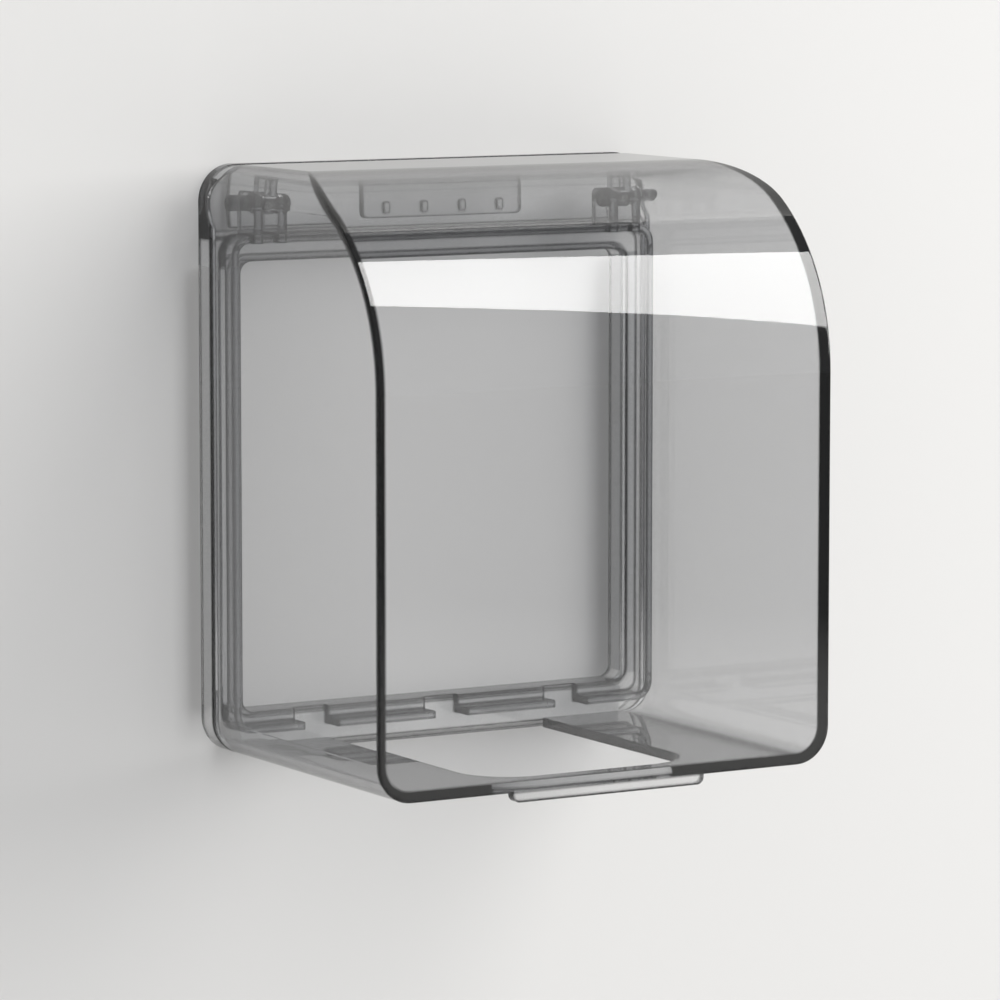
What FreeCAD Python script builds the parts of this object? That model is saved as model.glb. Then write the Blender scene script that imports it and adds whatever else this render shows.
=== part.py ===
# Socket splash box: a clear base frame that is stuck down by adhesive strips on its back, with a
# deep clear lid hinged on it. Millimetres. X runs to the right, Z is up, and the box stands out
# towards -Y from its mounting plane, Y = 0. The origin is in that plane, at the centre of the
# opening in the frame.
import FreeCAD, Part
import math
import os
import Sketcher
from FreeCAD import Rotation, Vector

# Driving dimensions. A "front" is a distance from the mounting plane.
SIZES = {
    # Opening, with the ledge and the collar round it
    "opening_width": 89.4,
    "opening_height": 91.8,
    "opening_corner": 2.5,
    "ledge_front": 7.0,
    "collar_front": 11.5,
    "collar_wall": 1.6,
    "collar_side": 4.1,
    "collar_head": 5.5,
    "collar_foot": 3.9,
    "collar_corner": 4.0,
    "collar_edge": 0.3,
    "drain_width": 7.8,
    "drain_pitch": 28.8,
    # Base frame
    "frame_corner": 7.5,
    "frame_front": 5.6,
    "frame_wall": 1.2,
    "frame_edge": 0.5,
    "hinge_height": 14.0,
    # Adhesive foam strips: a thin one behind the top, thick ones in the channel round the rest
    "tape_thickness": 1.0,
    "tape_proud": 0.3,
    "tape_margin": 1.15,
    "tape_gap": 0.1,
    "foam_gap": 0.3,
    "bond_gap": 0.02,
    # Hinge, with its axis below the frame's top and in front of the frame's face
    "axis_drop": 7.5,
    "axis_lift": 5.0,
    "pin_diameter": 3.0,
    "pin_fit": 0.04,
    "pin_end_gap": 0.4,
    "pin_round": 0.6,
    "head_diameter": 4.6,
    "head_thickness": 1.2,
    "ear_inset": 5.4,
    "ear_thickness": 2.0,
    "ear_gap": 3.4,
    "ear_reach": 2.3,
    "ear_round": 1.8,
    "knuckle_gap": 0.3,
    "knuckle_radius": 2.4,
    # Lid
    "lid_front": 74.5,
    "lid_wall": 2.0,
    "lid_arc": 41.0,
    "lid_edge": 0.6,
    "top_planed": 0.01,
    "side_clearance": 1.2,
    "foot_clearance": 2.8,
    "shadow_gap": 0.8,
    "swing_gap": 0.3,
    "rear_margin": 0.7,
    "cheek_margin": 0.25,
    # Outlet in the lid's bottom wall
    "outlet_width": 49.8,
    "outlet_margin": 6.5,
    "outlet_corner": 11.5,
    # Tongue that hangs from the lid's rear edge, with its row of bumps
    "tongue_width": 37.4,
    "tongue_length": 10.7,
    "tongue_thickness": 1.5,
    "tongue_corner": 1.5,
    "bump_count": 4,
    "bump_pitch": 8.9,
    "bump_width": 1.5,
    "bump_height": 2.5,
    "bump_round": 0.6,
    "bump_proud": 0.5,
    "bump_rise": 2.4,
    # Pull tab on the lid's lower front edge
    "tab_width": 44.0,
    "tab_drop": 1.9,
    "tab_thickness": 2.0,
    "tab_corner": 1.5,
}

# The two hinges' names and ways along X, how far a cutting solid runs past what it cuts, and how
# near two places have to be to count as one
SIDES = (("left", -1), ("right", 1))
BEYOND = 5.0
NEAR = 1e-4

doc = FreeCAD.newDocument("SplashBox")
sheet = doc.addObject("Spreadsheet::Sheet", "Sizes")
for row, (name, value) in enumerate(SIZES.items(), start=1):
    sheet.set(f"A{row}", name)
    sheet.set(f"B{row}", str(value))
    sheet.setAlias(f"B{row}", name)
doc.recompute()

# Places that several pieces share, as expressions on the sheet: half widths from the middle,
# heights above the opening's centre, and distances from the mounting plane
COLLAR_HALF = "(Sizes.opening_width / 2 + Sizes.collar_side)"
COLLAR_TOP = "(Sizes.opening_height / 2 + Sizes.collar_head)"
COLLAR_FOOT = "(-Sizes.opening_height / 2 - Sizes.collar_foot)"
LID_HALF = f"({COLLAR_HALF} + Sizes.side_clearance)"
FRAME_HALF = f"({LID_HALF} + Sizes.lid_wall)"
FRAME_TOP = f"({COLLAR_TOP} + Sizes.hinge_height)"
FRAME_FOOT = f"({COLLAR_FOOT} - Sizes.foot_clearance - Sizes.lid_wall)"
AXIS_LEVEL = f"({FRAME_TOP} - Sizes.axis_drop)"
AXIS_OUT = "(Sizes.frame_front + Sizes.axis_lift)"
LID_BACK = "(Sizes.frame_front + Sizes.shadow_gap)"
EAR_OUTER = f"({LID_HALF} - Sizes.ear_inset - Sizes.ear_thickness)"
EAR_INNER = f"({EAR_OUTER} - Sizes.ear_gap - Sizes.ear_thickness)"
TONGUE_FOOT = f"({FRAME_TOP} - Sizes.tongue_length)"

# How far from the hinge axis the lid's rear edge reaches: its top, which the groove in the frame
# clears, and its cheeks, which start where the side walls meet the rounded upper corners
REAR_RADIUS = "(Sizes.axis_drop + Sizes.rear_margin)"
CORNER_RUN = "(Sizes.frame_corner - Sizes.lid_wall + Sizes.swing_gap)"
CORNER_RISE = (
    f"(Sizes.axis_drop - Sizes.frame_corner + sqrt(Sizes.frame_corner ^ 2 - {CORNER_RUN} ^ 2))"
)
CHEEK_RADIUS = (
    f"(hypot({CORNER_RISE}; Sizes.axis_lift - Sizes.shadow_gap) + Sizes.cheek_margin)"
)
CHEEK_BACK = f"({AXIS_OUT} - {CHEEK_RADIUS})"
GROOVE_RADIUS = f"({REAR_RADIUS} + Sizes.swing_gap)"

# The channel in the frame's back: how far out it goes, the opening's wall beside it, and its top,
# which stays a wall's thickness away from the groove
CHANNEL_FRONT = "(Sizes.frame_front - Sizes.frame_wall)"
CHANNEL_SIDE = "(Sizes.opening_width / 2 + Sizes.frame_wall)"
CHANNEL_SILL = "(Sizes.opening_height / 2 + Sizes.frame_wall)"
CHANNEL_TOP = (
    f"({AXIS_LEVEL} - sqrt(({GROOVE_RADIUS} + Sizes.frame_wall) ^ 2"
    f" - ({AXIS_OUT} - {CHANNEL_FRONT}) ^ 2))"
)


def number(expression):
    """The value of an expression on the sheet."""
    return float(sheet.evalExpression(expression))


# Sketches and features

FRONT = Rotation(Vector(1, 0, 0), 90)
SIDE = Rotation(Vector(1, 1, 1), 120)


def body_sketch(body, name, plane, offset="0"):
    """A sketch on one of the body's origin planes, moved along that plane's normal.

    XZ_Plane shows X and Z and faces the front, YZ_Plane shows Y and Z and faces right."""
    sketch = body.newObject("Sketcher::SketchObject", name)
    support = [item for item in body.Origin.OriginFeatures if item.Role == plane][0]
    sketch.AttachmentSupport = (support, [""])
    sketch.MapMode = "FlatFace"
    sketch.setExpression("AttachmentOffset.Base.z", offset)
    return sketch


def free_sketch(name, turn, base=("0", "0", "0")):
    """A sketch of its own, turned to face the front (FRONT) or right (SIDE)."""
    sketch = doc.addObject("Sketcher::SketchObject", name)
    sketch.Placement.Rotation = turn
    for letter, place in zip("xyz", base):
        sketch.setExpression(f"Placement.Base.{letter}", place)
    return sketch


def outline(sketch, left, right, foot, top, radii=(None, None, None, None)):
    """Adds a closed box outline to a sketch. Its sides are expressions, and so are the radii of
    its corners: lower right, upper right, upper left and lower left."""
    right_at, left_at = number(right), number(left)
    foot_at, top_at = number(foot), number(top)
    corners = (
        Vector(right_at, foot_at, 0),
        Vector(right_at, top_at, 0),
        Vector(left_at, top_at, 0),
        Vector(left_at, foot_at, 0),
    )
    ways = (Vector(1, 0, 0), Vector(0, 1, 0), Vector(-1, 0, 0), Vector(0, -1, 0))
    rounding = [number(radius) if radius else 0.0 for radius in radii]
    lines = []
    for side, way in enumerate(ways):
        start = corners[side - 1] + way * rounding[side - 1]
        end = corners[side] - way * rounding[side]
        lines.append(sketch.addGeometry(Part.LineSegment(start, end), False))
    for corner, radius in enumerate(rounding):
        following = (corner + 1) % 4
        if not radius:
            sketch.addConstraint(
                Sketcher.Constraint("Coincident", lines[corner], 2, lines[following], 1)
            )
            continue
        centre = corners[corner] + (ways[following] - ways[corner]) * radius
        begin = math.radians(90 * (corner - 1))
        circle = Part.Circle(centre, Vector(0, 0, 1), radius)
        arc = sketch.addGeometry(Part.ArcOfCircle(circle, begin, begin + math.pi / 2), False)
        sketch.addConstraint(Sketcher.Constraint("Tangent", lines[corner], 2, arc, 1))
        sketch.addConstraint(Sketcher.Constraint("Tangent", arc, 2, lines[following], 1))
        size = sketch.addConstraint(Sketcher.Constraint("Radius", arc, radius))
        sketch.setExpression(f"Constraints[{size}]", radii[corner])
    sketch.addConstraint(Sketcher.Constraint("Horizontal", lines[0]))
    sketch.addConstraint(Sketcher.Constraint("Horizontal", lines[2]))
    sketch.addConstraint(Sketcher.Constraint("Vertical", lines[1]))
    sketch.addConstraint(Sketcher.Constraint("Vertical", lines[3]))
    places = (("DistanceY", foot), ("DistanceX", right), ("DistanceY", top), ("DistanceX", left))
    for line, (kind, place) in zip(lines, places):
        size = sketch.addConstraint(Sketcher.Constraint(kind, -1, 1, line, 1, number(place)))
        sketch.setExpression(f"Constraints[{size}]", place)


def ring(sketch, across, level, radius):
    """Adds a circle to a sketch."""
    centre = Vector(number(across), number(level), 0)
    circle = sketch.addGeometry(Part.Circle(centre, Vector(0, 0, 1), number(radius)), False)
    for kind, place in (("DistanceX", across), ("DistanceY", level)):
        size = sketch.addConstraint(Sketcher.Constraint(kind, -1, 1, circle, 3, number(place)))
        sketch.setExpression(f"Constraints[{size}]", place)
    size = sketch.addConstraint(Sketcher.Constraint("Radius", circle, number(radius)))
    sketch.setExpression(f"Constraints[{size}]", radius)


def feature(body, kind, name, sketch, length, both_ways=False, turned=False):
    """Adds a Pad or a Pocket of a sketch to a body."""
    item = body.newObject(f"PartDesign::{kind}", name)
    item.Profile = sketch
    item.SideType = "Symmetric" if both_ways else "One side"
    item.Reversed = turned
    item.setExpression("Length", length)
    body.Tip = item
    doc.recompute()
    return item


def extrusion(name, sketch, length, both_ways=False):
    """A solid pushed out of a free sketch along its normal."""
    item = doc.addObject("Part::Extrusion", name)
    item.Base = sketch
    item.DirMode = "Normal"
    item.Symmetric = both_ways
    item.Solid = True
    item.setExpression("LengthFwd", length)
    return item


def boolean(kind, name, shapes):
    """A cut of the second shape from the first, or a fusion or common of all of them."""
    if kind == "Cut":
        item = doc.addObject("Part::Cut", name)
        item.Base, item.Tool = shapes
    else:
        item = doc.addObject(f"Part::Multi{kind}", name)
        item.Shapes = list(shapes)
    doc.recompute()
    return item


def edge_names(shape, wanted):
    """The names of a shape's edges that pass a test."""
    return [f"Edge{index}" for index, edge in enumerate(shape.Edges, start=1) if wanted(edge)]


def lies_at(edge, distance):
    """Whether an edge lies all at one distance from the mounting plane."""
    box = edge.BoundBox
    return max(abs(box.YMin + distance), abs(box.YMax + distance)) < NEAR


def rounded(body, name, base, radius, wanted):
    """Rounds a body's edges that pass a test."""
    item = body.newObject("PartDesign::Fillet", name)
    item.Base = (base, edge_names(base.Shape, wanted))
    item.setExpression("Radius", radius)
    body.Tip = item
    doc.recompute()
    return item


def crossbar(name, radius, length, start):
    """A cylinder on the hinge axis, from the place start towards +X."""
    item = doc.addObject("Part::Cylinder", name)
    item.Placement.Rotation = Rotation(Vector(0, 1, 0), 90)
    item.setExpression("Radius", radius)
    item.setExpression("Height", length)
    item.setExpression("Placement.Base.x", start)
    item.setExpression("Placement.Base.y", f"-{AXIS_OUT}")
    item.setExpression("Placement.Base.z", AXIS_LEVEL)
    return item


def block(name, left, right, front, back, foot, top):
    """A box between two places along X, two distances from the mounting plane and two levels."""
    item = doc.addObject("Part::Box", name)
    item.setExpression("Length", f"({right}) - ({left})")
    item.setExpression("Width", f"({front}) - ({back})")
    item.setExpression("Height", f"({top}) - ({foot})")
    item.setExpression("Placement.Base.x", left)
    item.setExpression("Placement.Base.y", f"-({front})")
    item.setExpression("Placement.Base.z", foot)
    return item


# Base frame


def frame_outline(sketch, inset="0", rise="0"):
    """The rounded outline that the frame and the lid share, drawn in by an inset, its top raised."""
    half = f"({FRAME_HALF} - {inset})"
    radii = (f"Sizes.frame_corner - {inset}",) * 4
    top = f"{FRAME_TOP} - {inset} + {rise}"
    outline(sketch, f"-{half}", half, f"{FRAME_FOOT} + {inset}", top, radii)


def opening_outline(sketch):
    """The opening in the frame's middle."""
    outline(
        sketch,
        "-Sizes.opening_width / 2",
        "Sizes.opening_width / 2",
        "-Sizes.opening_height / 2",
        "Sizes.opening_height / 2",
        ("Sizes.opening_corner",) * 4,
    )


def collar_outline(sketch, inset="0"):
    """The collar's outer face, drawn in by an inset."""
    half = f"({COLLAR_HALF} - {inset})"
    radii = (f"Sizes.collar_corner - {inset}",) * 4
    outline(sketch, f"-{half}", half, f"{COLLAR_FOOT} + {inset}", f"{COLLAR_TOP} - {inset}", radii)


def channel_outline(sketch):
    """The channel in the frame's back, between the opening's wall and the outer rim."""
    outer = f"({FRAME_HALF} - Sizes.frame_wall)"
    corner = "Sizes.frame_corner - Sizes.frame_wall"
    foot = f"{FRAME_FOOT} + Sizes.frame_wall"
    outline(sketch, f"-{outer}", outer, foot, CHANNEL_TOP, (corner, None, None, corner))
    radii = ("Sizes.opening_corner + Sizes.frame_wall",) * 4
    outline(sketch, f"-{CHANNEL_SIDE}", CHANNEL_SIDE, f"-{CHANNEL_SILL}", CHANNEL_SILL, radii)


def top_seat_outline(sketch, gap="0"):
    """The seat of the thin strip behind the frame's top, drawn in by a gap."""
    half = f"({FRAME_HALF} - Sizes.frame_corner - {gap})"
    foot = f"{CHANNEL_TOP} + Sizes.tape_margin + {gap}"
    outline(sketch, f"-{half}", half, foot, f"{FRAME_TOP} - Sizes.tape_margin - {gap}")


def channel_strips():
    """Each thick strip's name, and its left, right, foot and top: the channel on that side, less
    a gap."""
    inner = f"({CHANNEL_SIDE} + Sizes.foam_gap)"
    outer = f"({FRAME_HALF} - Sizes.frame_wall - Sizes.foam_gap)"
    level = "(Sizes.opening_height / 2 - Sizes.tape_margin)"
    straight = f"({FRAME_HALF} - Sizes.frame_corner)"
    foot = f"{FRAME_FOOT} + Sizes.frame_wall + Sizes.foam_gap"
    return (
        ("tape_left", f"-{outer}", f"-{inner}", f"-{level}", level),
        ("tape_right", inner, outer, f"-{level}", level),
        ("tape_bottom", f"-{straight}", straight, foot, f"-({CHANNEL_SILL} + Sizes.foam_gap)"),
    )


def build_base_frame():
    """Thin-walled frame, groove for the lid's swing, collar with ledge and drain gaps, ears."""
    body = doc.addObject("PartDesign::Body", "base_frame")
    body.Label = "base_frame"

    slab = body_sketch(body, "slab_outline", "XZ_Plane", "Sizes.tape_proud")
    frame_outline(slab)
    opening_outline(slab)
    plate = feature(body, "Pad", "slab", slab, "Sizes.frame_front - Sizes.tape_proud")
    frame_front = number("Sizes.frame_front")
    half_opening = number("Sizes.opening_width / 2")

    def on_outer_rim(edge):
        box = edge.BoundBox
        return lies_at(edge, frame_front) and max(abs(box.XMin), abs(box.XMax)) > half_opening + NEAR

    rounded(body, "rim_edge", plate, "Sizes.frame_edge", on_outer_rim)

    # The lid's rear edge turns in a groove about the hinge axis. A step above it takes the lid's
    # top, which lies flat there when the lid is right up. The cheeks turn in two smaller grooves,
    # so the thin rims beside them stay as deep as they can
    axis = (f"-{AXIS_OUT}", AXIS_LEVEL)
    groove = body_sketch(body, "groove_circle", "YZ_Plane")
    ring(groove, *axis, GROOVE_RADIUS)
    groove_length = f"2 * ({LID_HALF} + Sizes.swing_gap)"
    feature(body, "Pocket", "swing_groove", groove, groove_length, both_ways=True)
    step = body_sketch(body, "step_lines", "YZ_Plane")
    outline(
        step,
        f"-{AXIS_OUT}",
        f"-({AXIS_OUT} - Sizes.axis_drop - Sizes.swing_gap)",
        AXIS_LEVEL,
        f"{FRAME_TOP} + {BEYOND}",
    )
    feature(body, "Pocket", "lid_step", step, groove_length, both_ways=True)
    notch = body_sketch(body, "notch_circle", "YZ_Plane")
    ring(notch, *axis, f"{CHEEK_RADIUS} + Sizes.swing_gap")
    feature(body, "Pocket", "cheek_notches", notch, f"2 * {FRAME_HALF} + {BEYOND}", True)

    collar_root = "(Sizes.frame_front / 2)"
    collar = body_sketch(body, "collar_lines", "XZ_Plane", collar_root)
    collar_outline(collar)
    collar_outline(collar, "Sizes.collar_wall")
    wall = feature(body, "Pad", "collar", collar, f"Sizes.collar_front - {collar_root}")
    collar_front = number("Sizes.collar_front")
    rounded(body, "collar_edge", wall, "Sizes.collar_edge", lambda edge: lies_at(edge, collar_front))
    ledge = body_sketch(body, "ledge_lines", "XZ_Plane", collar_root)
    collar_outline(ledge, "Sizes.collar_wall / 2")
    opening_outline(ledge)
    feature(body, "Pad", "ledge", ledge, f"Sizes.ledge_front - {collar_root}")

    drains = body_sketch(body, "drain_lines", "XZ_Plane", "Sizes.collar_front")
    for place in (-1, 0, 1):
        centre = f"({place} * Sizes.drain_pitch)"
        outline(
            drains,
            f"{centre} - Sizes.drain_width / 2",
            f"{centre} + Sizes.drain_width / 2",
            f"{COLLAR_FOOT} - {BEYOND}",
            "-Sizes.opening_height / 2 + Sizes.opening_corner",
        )
    feature(body, "Pocket", "drain_gaps", drains, "Sizes.collar_front - Sizes.frame_front")

    ears = []
    for name, place in (("inner_ear", EAR_INNER), ("outer_ear", EAR_OUTER)):
        ear = body_sketch(body, f"{name}_outline", "YZ_Plane", place)
        outline(
            ear,
            f"-{AXIS_OUT} - Sizes.ear_reach",
            "-Sizes.frame_front",
            f"{COLLAR_TOP} - Sizes.collar_wall",
            f"{AXIS_LEVEL} + Sizes.ear_reach",
            (None, "Sizes.ear_round", "Sizes.ear_round", None),
        )
        ears.append(feature(body, "Pad", name, ear, "Sizes.ear_thickness"))
    mirror = body.newObject("PartDesign::Mirrored", "other_ears")
    mirror.Originals = ears
    plane = [item for item in body.Origin.OriginFeatures if item.Role == "YZ_Plane"][0]
    mirror.MirrorPlane = (plane, [""])
    body.Tip = mirror
    bore = body_sketch(body, "bore_circle", "YZ_Plane")
    ring(bore, *axis, "Sizes.pin_diameter / 2 + Sizes.pin_fit")
    feature(body, "Pocket", "ear_bores", bore, f"2 * {FRAME_HALF}", both_ways=True)

    seat = body_sketch(body, "seat_lines", "XZ_Plane", "Sizes.tape_proud")
    top_seat_outline(seat)
    depth = "Sizes.tape_thickness - Sizes.tape_proud + Sizes.bond_gap"
    feature(body, "Pocket", "tape_seat", seat, depth, turned=True)
    channel = body_sketch(body, "channel_lines", "XZ_Plane", "Sizes.tape_proud")
    channel_outline(channel)
    feature(body, "Pocket", "channel", channel, f"{CHANNEL_FRONT} - Sizes.tape_proud", turned=True)
    return body


def build_tapes():
    """The adhesive strips, which stand proud of the frame's back."""
    tapes = []
    for name, *sides in (("tape_top",), *channel_strips()):
        body = doc.addObject("PartDesign::Body", name)
        body.Label = name
        strip = body_sketch(body, f"{name}_outline", "XZ_Plane")
        if sides:
            outline(strip, *sides)
            thickness = f"{CHANNEL_FRONT} - Sizes.bond_gap"
        else:
            top_seat_outline(strip, "Sizes.tape_gap")
            thickness = "Sizes.tape_thickness"
        feature(body, "Pad", f"{name}_strip", strip, thickness)
        tapes.append(body)
    return tapes


# Hinge pins


def build_pin(name, way):
    """A headed pin through ear, knuckle and ear, pushed in from the middle of the box."""
    head_at = f"({EAR_INNER} - Sizes.head_thickness)"
    reach = f"({LID_HALF} - Sizes.pin_end_gap)"
    shaft_at = head_at if way > 0 else f"-{reach}"
    shaft = crossbar(
        f"{name}_shaft", "Sizes.pin_diameter / 2", f"{reach} - {head_at}", shaft_at
    )
    cap_at = head_at if way > 0 else f"-{EAR_INNER}"
    cap = crossbar(f"{name}_cap", "Sizes.head_diameter / 2", "Sizes.head_thickness", cap_at)
    whole = boolean("Fuse", f"{name}_whole", (shaft, cap))
    free_end = way * number(reach)
    cap_face = way * number(head_at)
    pin = doc.addObject("Part::Fillet", name)
    pin.Base = whole
    radius = number("Sizes.pin_round")
    pin.Edges = [
        (index, radius, radius)
        for index, edge in enumerate(whole.Shape.Edges, start=1)
        if edge.Closed and min(abs(edge.CenterOfMass.x - x) for x in (free_end, cap_face)) < NEAR
    ]
    pin.Label = name
    return pin


# Lid


def lid_prism(name, inset, back, rise="0"):
    """The lid's outer form, or its inner one with the wall as inset: the frame's rounded outline
    pushed out to the front, cut by a side view whose upper front is one large arc."""
    front = f"(Sizes.lid_front - {inset})"
    face = free_sketch(f"{name}_face", FRONT, ("0", f"-({back})", "0"))
    frame_outline(face, inset, rise)
    profile = free_sketch(f"{name}_profile", SIDE)
    outline(
        profile,
        f"-{front}",
        f"-({back})",
        f"{FRAME_FOOT} + {inset}",
        f"{FRAME_TOP} - {inset} + {rise}",
        (None, None, f"Sizes.lid_arc - {inset}", None),
    )
    depth = extrusion(f"{name}_depth", face, f"{front} - ({back})")
    width = extrusion(f"{name}_width", profile, f"2 * {FRAME_HALF}", both_ways=True)
    return boolean("Common", name, (depth, width))


def build_lid():
    """Shell, trimmed rear edge, hinge knuckles, tongue with bumps, pull tab and outlet."""
    wide = f"({FRAME_HALF} + {BEYOND})"
    low = f"({FRAME_FOOT} - {BEYOND})"
    high = f"({FRAME_TOP} + {BEYOND})"
    far_front = f"(Sizes.lid_front + {BEYOND})"
    far_back = f"({CHEEK_BACK} - {BEYOND})"

    # The rounding of the front's edges runs out to nothing where the corners and the arc both meet
    # the top, so the form is made a hair too tall and its top is planed off
    sharp = lid_prism("lid_outer", "0", CHEEK_BACK, "Sizes.top_planed")
    back_at = number(CHEEK_BACK)
    arc_at = number(f"{FRAME_TOP} + Sizes.top_planed - Sizes.lid_arc")

    def on_front_rim(edge):
        """Every edge apart from those at the back, those along the box and the arc's own ends."""
        box = edge.BoundBox
        along = box.XLength < NEAR and box.ZLength < NEAR
        across = box.YLength < NEAR and box.ZLength < NEAR and box.ZMin > arc_at - NEAR
        return not (lies_at(edge, back_at) or along or across)

    whole = doc.addObject("Part::Fillet", "lid_rounded")
    whole.Base = sharp
    radius = number("Sizes.lid_edge")
    names = edge_names(sharp.Shape, on_front_rim)
    whole.Edges = [(int(name[4:]), radius, radius) for name in names]
    doc.recompute()
    shaving = block("top_shaving", f"-{wide}", wide, far_front, far_back, FRAME_TOP, high)
    whole = boolean("Cut", "lid_planed", (whole, shaving))
    hollow = lid_prism("lid_inner", "Sizes.lid_wall", f"{CHEEK_BACK} - {BEYOND}")
    shell = boolean("Cut", "lid_shell", (whole, hollow))

    # The rear edge lies a shadow gap in front of the frame. Only the cheeks, round about the
    # hinge axis, reach further back, and the top's rear corner is turned down to its own radius
    behind = block("behind_lid", f"-{wide}", wide, LID_BACK, far_back, low, high)
    cheeks = crossbar("cheek_disc", CHEEK_RADIUS, f"2 * {wide}", f"-{wide}")
    shell = boolean("Cut", "lid_with_cheeks", (shell, boolean("Cut", "back_trim", (behind, cheeks))))
    corner = block("rear_corner", f"-{wide}", wide, AXIS_OUT, far_back, AXIS_LEVEL, high)
    turning = crossbar("rear_disc", REAR_RADIUS, f"2 * {wide}", f"-{wide}")
    shell = boolean("Cut", "lid_turned", (shell, boolean("Cut", "rear_trim", (corner, turning))))

    joined = [shell]
    top_inside = f"({FRAME_TOP} - Sizes.lid_wall)"
    into_top = f"({FRAME_TOP} - Sizes.lid_wall / 2)"
    near = f"({EAR_INNER} + Sizes.ear_thickness + Sizes.knuckle_gap)"
    thickness = "(Sizes.ear_gap - 2 * Sizes.knuckle_gap)"
    for side, way in SIDES:
        start = near if way > 0 else f"(-{near} - {thickness})"
        joined.append(crossbar(f"{side}_hub", "Sizes.knuckle_radius", thickness, start))
        joined.append(
            block(
                f"{side}_web",
                start,
                f"{start} + {thickness}",
                f"{AXIS_OUT} + Sizes.knuckle_radius",
                f"{AXIS_OUT} - Sizes.knuckle_radius",
                AXIS_LEVEL,
                into_top,
            )
        )

    half_tongue = "(Sizes.tongue_width / 2)"
    tongue = free_sketch("tongue_outline", FRONT, ("0", f"-{LID_BACK}", "0"))
    outline(
        tongue,
        f"-{half_tongue}",
        half_tongue,
        TONGUE_FOOT,
        top_inside,
        ("Sizes.tongue_corner", None, None, "Sizes.tongue_corner"),
    )
    joined.append(extrusion("tongue", tongue, "Sizes.tongue_thickness"))
    neck = block(
        "tongue_neck",
        f"-{half_tongue}",
        half_tongue,
        f"{LID_BACK} + Sizes.tongue_thickness",
        f"{LID_BACK} + Sizes.bond_gap",
        f"{top_inside} - Sizes.bond_gap",
        into_top,
    )
    joined.append(neck)
    bump_line = free_sketch("bump_outlines", FRONT, ("0", f"-{LID_BACK}", "0"))
    count = int(number("Sizes.bump_count"))
    bump_level = f"({TONGUE_FOOT} + Sizes.bump_rise)"
    for index in range(count):
        centre = f"({index - (count - 1) / 2} * Sizes.bump_pitch)"
        outline(
            bump_line,
            f"{centre} - Sizes.bump_width / 2",
            f"{centre} + Sizes.bump_width / 2",
            f"{bump_level} - Sizes.bump_height / 2",
            f"{bump_level} + Sizes.bump_height / 2",
            ("Sizes.bump_round",) * 4,
        )
    joined.append(extrusion("bumps", bump_line, "Sizes.tongue_thickness + Sizes.bump_proud"))

    half_tab = "(Sizes.tab_width / 2)"
    tab = free_sketch(
        "tab_outline", FRONT, ("0", "-(Sizes.lid_front - Sizes.tab_thickness)", "0")
    )
    outline(
        tab,
        f"-{half_tab}",
        half_tab,
        f"{FRAME_FOOT} - Sizes.tab_drop",
        f"{FRAME_FOOT} + Sizes.lid_wall / 2",
        ("Sizes.tab_corner", None, None, "Sizes.tab_corner"),
    )
    joined.append(extrusion("pull_tab", tab, "Sizes.tab_thickness"))
    solid = boolean("Fuse", "lid_solid", joined)

    half_outlet = "(Sizes.outlet_width / 2)"
    plan = doc.addObject("Sketcher::SketchObject", "outlet_plan")
    plan.setExpression("Placement.Base.z", f"{FRAME_FOOT} - {BEYOND}")
    outline(
        plan,
        f"-{half_outlet}",
        half_outlet,
        "-(Sizes.lid_front - Sizes.outlet_margin)",
        f"-{far_back}",
        ("Sizes.outlet_corner", None, None, "Sizes.outlet_corner"),
    )
    outlet = extrusion("outlet", plan, f"Sizes.lid_wall + 2 * {BEYOND}")
    bores = crossbar(
        "knuckle_bores",
        "Sizes.pin_diameter / 2 + Sizes.pin_fit",
        f"2 * ({near} + {thickness} + Sizes.knuckle_gap)",
        f"-({near} + {thickness} + Sizes.knuckle_gap)",
    )
    holes = boolean("Fuse", "lid_holes", (outlet, bores))
    lid = boolean("Cut", "lid", (solid, holes))
    lid.Label = "lid"
    return lid


pieces = [build_base_frame(), build_lid()]
pieces += [build_pin(f"hinge_pin_{side}", way) for side, way in SIDES]
pieces += build_tapes()
doc.recompute()

# Every object has to have been worked out, and every piece has to be one sound solid
for item in doc.Objects:
    if {"Invalid", "Error"} & set(item.State):
        raise RuntimeError(f"{item.Name} failed: {item.State}")
os.makedirs("parts", exist_ok=True)
for piece in pieces:
    shape = piece.Shape
    if shape.isNull() or not shape.isValid() or len(shape.Solids) != 1:
        raise RuntimeError(f"{piece.Label} is not one sound solid")
for piece in pieces:
    piece.Shape.exportStep(os.path.join("parts", f"{piece.Label}.step"))
    box = piece.Shape.optimalBoundingBox()
    print(
        f"{piece.Label}: {piece.Shape.Volume:.0f} mm3,"
        f" X {box.XMin:.2f} to {box.XMax:.2f},"
        f" Y {box.YMin:.2f} to {box.YMax:.2f},"
        f" Z {box.ZMin:.2f} to {box.ZMax:.2f}"
    )
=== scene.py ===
import math

import bpy
from mathutils import Euler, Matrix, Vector


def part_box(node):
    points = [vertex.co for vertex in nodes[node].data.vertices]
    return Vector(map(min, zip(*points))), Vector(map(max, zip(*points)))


# The clear splash box, on a pale upright board in a plain studio. Metres, in the frame of the CAD.

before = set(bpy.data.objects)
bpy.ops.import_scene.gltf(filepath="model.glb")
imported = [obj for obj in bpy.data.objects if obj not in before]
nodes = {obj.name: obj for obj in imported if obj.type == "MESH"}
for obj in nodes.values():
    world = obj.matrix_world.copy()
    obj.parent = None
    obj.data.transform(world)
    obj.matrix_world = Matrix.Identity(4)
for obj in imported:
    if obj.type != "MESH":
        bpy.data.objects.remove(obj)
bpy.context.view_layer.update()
bpy.context.scene.view_settings.view_transform = "Standard"

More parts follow.
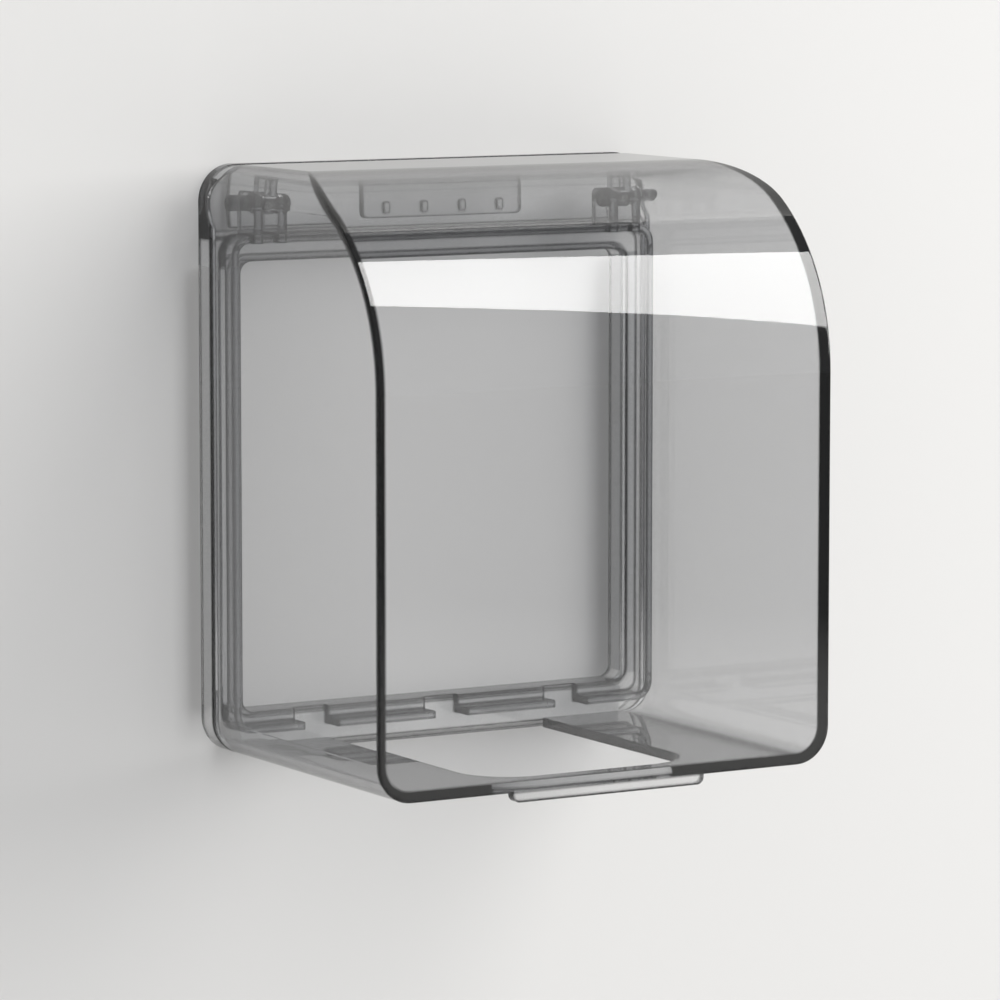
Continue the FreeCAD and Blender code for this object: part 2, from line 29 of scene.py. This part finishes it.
# Camera: where it stands, how far it turns to the right of +Y and how far it looks down
CAMERA_PLACE = (-0.5439, -0.9582, 0.1236)
CAMERA_TURN = math.radians(30.42)
CAMERA_DOWN = math.radians(6.70)
CAMERA_LENS = 192.1
CAMERA_SENSOR = 36.0

# Light: an even world, and one tall softbox in front of the box at its right, which stands on two
# vertical edges seen from the lid at these ways from straight ahead
WORLD_COLOUR = (0.98, 0.985, 1.0)
WORLD_LEVEL = 0.42
LAMP_COLOUR = (1.0, 0.995, 0.985)
PANEL_NEAR_EDGE = math.radians(36.6)
PANEL_FAR_EDGE = math.radians(59.4)
PANEL_DISTANCE = 2.0
PANEL_FOOT = 0.10
PANEL_TOP = 3.40
PANEL_RADIANCE = 9.0

# Stage: the board that the box is mounted on, just behind the mounting plane, the floor, and how
# rough and how shiny their paint is
BOARD_PLACE = 0.0003
BOARD_HALF = 1.6
BOARD_COLOUR = (0.80, 0.795, 0.785)
FLOOR_LEVEL = -0.30
FLOOR_HALF = 3.0
FLOOR_COLOUR = (0.80, 0.795, 0.785)
PAINT_ROUGHNESS = 0.9
PAINT_SHINE = 0.1

# Noise: its usual detail and break-up, and the range that nearly all of it lies in
NOISE_DETAIL = 2.0
NOISE_BREAKUP = 0.5
NOISE_LOW = 0.3
NOISE_HIGH = 0.7

# Plastics: how densely each one's body soaks up light, what a lamp's light keeps at each of its faces,
# how rough it is where it is smoothest and roughest, and how strong its waves are. Then what they
# share, with their mould marks and waves counted along a metre
LID_DENSITY = 108.0
LID_LAMP_TINT = (0.97, 0.97, 0.97)
FRAME_DENSITY = 85.0
FRAME_LAMP_TINT = (0.99, 0.99, 0.99)
PIN_DENSITY = 700.0
PIN_LAMP_TINT = (0.99, 0.99, 0.99)
SHELL_ROUGHNESS = (0.0, 0.03)
SHELL_WAVES = 0.04
PIN_ROUGHNESS = (0.02, 0.06)
PIN_WAVES = 0.03
SMOKE_COLOUR = (0.0, 0.015, 0.045)
PLASTIC_IOR = 1.58
MARK_GRAIN = 180.0
WAVE_GRAIN = 60.0
WAVE_DETAIL = 1.0
WAVE_HEIGHT = 0.0002

# Painted edge shade: the colour painted where the plastic should look dark, and the slants between
# which a face is painted darker, 0 when seen face on and 1 along the surface.
# And for the painted shade lines at corners, their widths and the departures from flat between which
# they are painted dark
PAINTED_EDGE_SHADE = (0.0, 0.0, 0.0)
SLANT_START = 0.46
SLANT_END = 0.92
SLANT_BLEND = 0.5
LID_SHADE_LINE = 0.0008
FRAME_SHADE_LINE = 0.0009
PIN_SHADE_LINE = 0.0009
CORNER_START = 0.005
CORNER_END = 0.03
CORNER_SAMPLES = 4

# Foam strips: their two whites, where along the noise the dark one ends and the light one starts,
# their cells, counted along a metre, the roughness of dark and of light cells, and their pits
FOAM_DARK = (0.77, 0.77, 0.76)
FOAM_LIGHT = (0.86, 0.86, 0.85)
FOAM_DARK_STOP = 0.35
FOAM_LIGHT_STOP = 0.65
FOAM_GRAIN = 2600.0
FOAM_DETAIL = 3.0
FOAM_BREAKUP = 0.7
FOAM_ROUGHNESS = (0.95, 0.75)
FOAM_PITS = 0.5
FOAM_PIT_HEIGHT = 0.0001


def new_material(name):
    """A material with an empty node tree and its output."""
    material = bpy.data.materials.new(name)
    material.use_nodes = True
    tree = material.node_tree
    tree.nodes.clear()
    return material, tree, tree.nodes.new("ShaderNodeOutputMaterial")


def noise(tree, scale, detail=NOISE_DETAIL, breakup=NOISE_BREAKUP):
    """A noise texture over the piece's own metres."""
    place = tree.nodes.new("ShaderNodeTexCoord")
    texture = tree.nodes.new("ShaderNodeTexNoise")
    texture.inputs["Scale"].default_value = scale
    texture.inputs["Detail"].default_value = detail
    texture.inputs["Roughness"].default_value = breakup
    tree.links.new(place.outputs["Object"], texture.inputs["Vector"])
    return texture.outputs["Fac"]


def spread(tree, source, start, end):
    """The range of a noise, spread from start to end."""
    node = tree.nodes.new("ShaderNodeMapRange")
    node.inputs["From Min"].default_value = NOISE_LOW
    node.inputs["From Max"].default_value = NOISE_HIGH
    node.inputs["To Min"].default_value = start
    node.inputs["To Max"].default_value = end
    tree.links.new(source, node.inputs["Value"])
    return node.outputs["Result"]


def relief(tree, source, strength, height):
    """The normal of a surface that source raises by up to height."""
    node = tree.nodes.new("ShaderNodeBump")
    node.inputs["Strength"].default_value = strength
    node.inputs["Distance"].default_value = height
    tree.links.new(source, node.inputs["Height"])
    return node.outputs["Normal"]


def greater(tree, first, second):
    """The greater of two values."""
    node = tree.nodes.new("ShaderNodeMath")
    node.operation = "MAXIMUM"
    tree.links.new(first, node.inputs[0])
    tree.links.new(second, node.inputs[1])
    return node.outputs["Value"]


def either(tree, choice, first, second):
    """The first shader where choice is 0, and the second where it is 1."""
    node = tree.nodes.new("ShaderNodeMixShader")
    tree.links.new(choice, node.inputs["Fac"])
    tree.links.new(first.outputs["BSDF"], node.inputs[1])
    tree.links.new(second.outputs["BSDF"], node.inputs[2])
    return node.outputs["Shader"]


def lamp_rays(tree):
    """1 on the rays that gather a matt surface's light from the lamps and the world."""
    path = tree.nodes.new("ShaderNodeLightPath")
    return greater(tree, path.outputs["Is Shadow Ray"], path.outputs["Is Diffuse Ray"])


def painted_shade_ramp(tree, source, start, end):
    """White where source is below start, running down to the painted edge shade at end."""
    node = tree.nodes.new("ShaderNodeValToRGB")
    node.color_ramp.interpolation = "EASE"
    clear, dark = node.color_ramp.elements
    clear.position = start
    dark.position = end
    clear.color = (1.0, 1.0, 1.0, 1.0)
    dark.color = (*PAINTED_EDGE_SHADE, 1.0)
    tree.links.new(source, node.inputs["Fac"])
    return node.outputs["Color"]


def facing_shade_mask(tree):
    """How far the surface turns away from the eye: 1 less the cosine of the angle, used as a mask for
    painted shade.
    """
    node = tree.nodes.new("ShaderNodeLayerWeight")
    node.inputs["Blend"].default_value = SLANT_BLEND
    return node.outputs["Facing"]


def corner_shade_mask(tree, radius):
    """How far the surface is from flat within radius: 0 on a face, and more along its edges, used as a
    mask for painted shade lines.
    """
    rounded = tree.nodes.new("ShaderNodeBevel")
    rounded.samples = CORNER_SAMPLES
    rounded.inputs["Radius"].default_value = radius
    surface = tree.nodes.new("ShaderNodeNewGeometry")
    alike = tree.nodes.new("ShaderNodeVectorMath")
    alike.operation = "DOT_PRODUCT"
    tree.links.new(rounded.outputs["Normal"], alike.inputs[0])
    tree.links.new(surface.outputs["Normal"], alike.inputs[1])
    apart = tree.nodes.new("ShaderNodeMath")
    apart.operation = "SUBTRACT"
    apart.inputs[0].default_value = 1.0
    tree.links.new(alike.outputs["Value"], apart.inputs[1])
    return apart.outputs["Value"]


def clear_plastic(name, density, lamp_tint, roughness, waves, shade_line_width):
    """Clear moulded plastic: a glossy skin with faint mould marks and a grey body that darkens with
    depth.
    Its base colour carries painted shade: it is painted darker where a face turns away from the eye,
    and light is bent away at its corners, so they are painted as dark lines about as wide as the given
    line width."""
    material, tree, output = new_material(name)
    # Painted shade: the base colour goes dark where a face turns from the eye and along its corners
    painted_slant_shade = painted_shade_ramp(tree, facing_shade_mask(tree), SLANT_START, SLANT_END)
    painted_corner_shade = painted_shade_ramp(tree, corner_shade_mask(tree, shade_line_width), CORNER_START, CORNER_END)
    painted_edges = tree.nodes.new("ShaderNodeVectorMath")
    painted_edges.operation = "MULTIPLY"
    tree.links.new(painted_slant_shade, painted_edges.inputs[0])
    tree.links.new(painted_corner_shade, painted_edges.inputs[1])

    skin = tree.nodes.new("ShaderNodeBsdfPrincipled")
    skin.inputs["Transmission Weight"].default_value = 1.0
    skin.inputs["IOR"].default_value = PLASTIC_IOR
    marks = spread(tree, noise(tree, MARK_GRAIN), *roughness)
    ripples = relief(tree, noise(tree, WAVE_GRAIN, WAVE_DETAIL), waves, WAVE_HEIGHT)
    tree.links.new(painted_edges.outputs["Vector"], skin.inputs["Base Color"])
    tree.links.new(marks, skin.inputs["Roughness"])
    tree.links.new(ripples, skin.inputs["Normal"])

    open_to_lamps = tree.nodes.new("ShaderNodeBsdfTransparent")
    open_to_lamps.inputs["Color"].default_value = (*lamp_tint, 1.0)
    tree.links.new(either(tree, lamp_rays(tree), skin, open_to_lamps), output.inputs["Surface"])

    body = tree.nodes.new("ShaderNodeVolumeAbsorption")
    body.inputs["Color"].default_value = (*SMOKE_COLOUR, 1.0)
    body.inputs["Density"].default_value = density
    tree.links.new(body.outputs["Volume"], output.inputs["Volume"])
    return material


def foam(name):
    """White closed-cell foam: fine pale cells, each a little rough and pitted."""
    material, tree, output = new_material(name)
    cells = noise(tree, FOAM_GRAIN, FOAM_DETAIL, FOAM_BREAKUP)
    shade = tree.nodes.new("ShaderNodeValToRGB")
    dark, light = shade.color_ramp.elements
    dark.position = FOAM_DARK_STOP
    light.position = FOAM_LIGHT_STOP
    dark.color = (*FOAM_DARK, 1.0)
    light.color = (*FOAM_LIGHT, 1.0)
    tree.links.new(cells, shade.inputs["Fac"])

    skin = tree.nodes.new("ShaderNodeBsdfPrincipled")
    tree.links.new(shade.outputs["Color"], skin.inputs["Base Color"])
    tree.links.new(spread(tree, cells, *FOAM_ROUGHNESS), skin.inputs["Roughness"])
    tree.links.new(relief(tree, cells, FOAM_PITS, FOAM_PIT_HEIGHT), skin.inputs["Normal"])
    tree.links.new(skin.outputs["BSDF"], output.inputs["Surface"])
    return material


def matt(name, colour, one_sided):
    """Matt paint. One-sided paint isn't there when seen from behind, and holds no light back."""
    material, tree, output = new_material(name)
    paint = tree.nodes.new("ShaderNodeBsdfPrincipled")
    paint.inputs["Base Color"].default_value = (*colour, 1.0)
    paint.inputs["Roughness"].default_value = PAINT_ROUGHNESS
    paint.inputs["Specular IOR Level"].default_value = PAINT_SHINE
    surface = paint.outputs["BSDF"]
    if one_sided:
        side = tree.nodes.new("ShaderNodeNewGeometry")
        unseen = tree.nodes.new("ShaderNodeBsdfTransparent")
        hidden = greater(tree, side.outputs["Backfacing"], lamp_rays(tree))
        surface = either(tree, hidden, paint, unseen)
    tree.links.new(surface, output.inputs["Surface"])
    return material


def dress(node, material):
    """Puts material in every slot of a CAD node."""
    for slot in nodes[node].material_slots:
        slot.material = material


def plane(name, half, place, upright):
    """A square sheet, lying or standing to face -Y."""
    corners = [(-half, -half), (half, -half), (half, half), (-half, half)]
    if upright:
        points = [(x, place, z) for x, z in corners]
    else:
        points = [(x, y, place) for x, y in corners]
    mesh = bpy.data.meshes.new(name)
    mesh.from_pydata(points, [], [(0, 1, 2, 3)])
    sheet = bpy.data.objects.new(name, mesh)
    bpy.context.scene.collection.objects.link(sheet)
    return sheet


def softbox(name, place, width, height, radiance, aim):
    """A square-cornered area light, turned towards aim. Pi watts a square metre give radiance 1."""
    lamp_data = bpy.data.lights.new(name, "AREA")
    lamp_data.shape = "RECTANGLE"
    lamp_data.size = width
    lamp_data.size_y = height
    lamp_data.energy = radiance * math.pi * width * height
    lamp_data.color = LAMP_COLOUR
    lamp = bpy.data.objects.new(name, lamp_data)
    lamp.location = place
    lamp.rotation_euler = (Vector(aim) - Vector(place)).to_track_quat("-Z", "Y").to_euler()
    lamp.visible_camera = False
    lamp.visible_transmission = False
    bpy.context.scene.collection.objects.link(lamp)


def panel_edge(way):
    """Where an edge of the panel stands from the lid's front, as seen from above."""
    return Vector((math.sin(way), -math.cos(way), 0.0)) * PANEL_DISTANCE


# Camera
camera_data = bpy.data.cameras.new("camera")
camera_data.lens = CAMERA_LENS
camera_data.sensor_width = CAMERA_SENSOR
camera = bpy.data.objects.new("camera", camera_data)
camera.location = CAMERA_PLACE
camera.rotation_euler = Euler((math.pi / 2 - CAMERA_DOWN, 0.0, -CAMERA_TURN), "XYZ")
bpy.context.scene.collection.objects.link(camera)
bpy.context.scene.camera = camera

# World
world = bpy.data.worlds.new("studio")
world.use_nodes = True
world_light = world.node_tree.nodes["Background"]
world_light.inputs["Color"].default_value = (*WORLD_COLOUR, 1.0)
world_light.inputs["Strength"].default_value = WORLD_LEVEL
bpy.context.scene.world = world

# Softbox
lid_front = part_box("lid")[0].y
near_edge = panel_edge(PANEL_NEAR_EDGE)
far_edge = panel_edge(PANEL_FAR_EDGE)
panel_width = (far_edge - near_edge).length
panel_place = (near_edge + far_edge) / 2 + Vector((0.0, lid_front, (PANEL_FOOT + PANEL_TOP) / 2))
panel_aim = (0.0, lid_front, panel_place.z)
softbox("panel", panel_place, panel_width, PANEL_TOP - PANEL_FOOT, PANEL_RADIANCE, panel_aim)

# Board and floor
board = plane("board", BOARD_HALF, BOARD_PLACE, upright=True)
board.data.materials.append(matt("board_paint", BOARD_COLOUR, one_sided=True))
floor = plane("floor", FLOOR_HALF, FLOOR_LEVEL, upright=False)
floor.data.materials.append(matt("floor_paint", FLOOR_COLOUR, one_sided=False))

# Splash box
lid_plastic = clear_plastic(
    "lid_plastic", LID_DENSITY, LID_LAMP_TINT, SHELL_ROUGHNESS, SHELL_WAVES, LID_SHADE_LINE
)
frame_plastic = clear_plastic(
    "frame_plastic", FRAME_DENSITY, FRAME_LAMP_TINT, SHELL_ROUGHNESS, SHELL_WAVES, FRAME_SHADE_LINE
)
pin_plastic = clear_plastic(
    "pin_plastic", PIN_DENSITY, PIN_LAMP_TINT, PIN_ROUGHNESS, PIN_WAVES, PIN_SHADE_LINE
)
foam_white = foam("adhesive_foam")
dress("base_frame", frame_plastic)
dress("lid", lid_plastic)
for name in ("hinge_pin_left", "hinge_pin_right"):
    dress(name, pin_plastic)
for name in ("tape_left", "tape_right", "tape_top", "tape_bottom"):
    dress(name, foam_white)
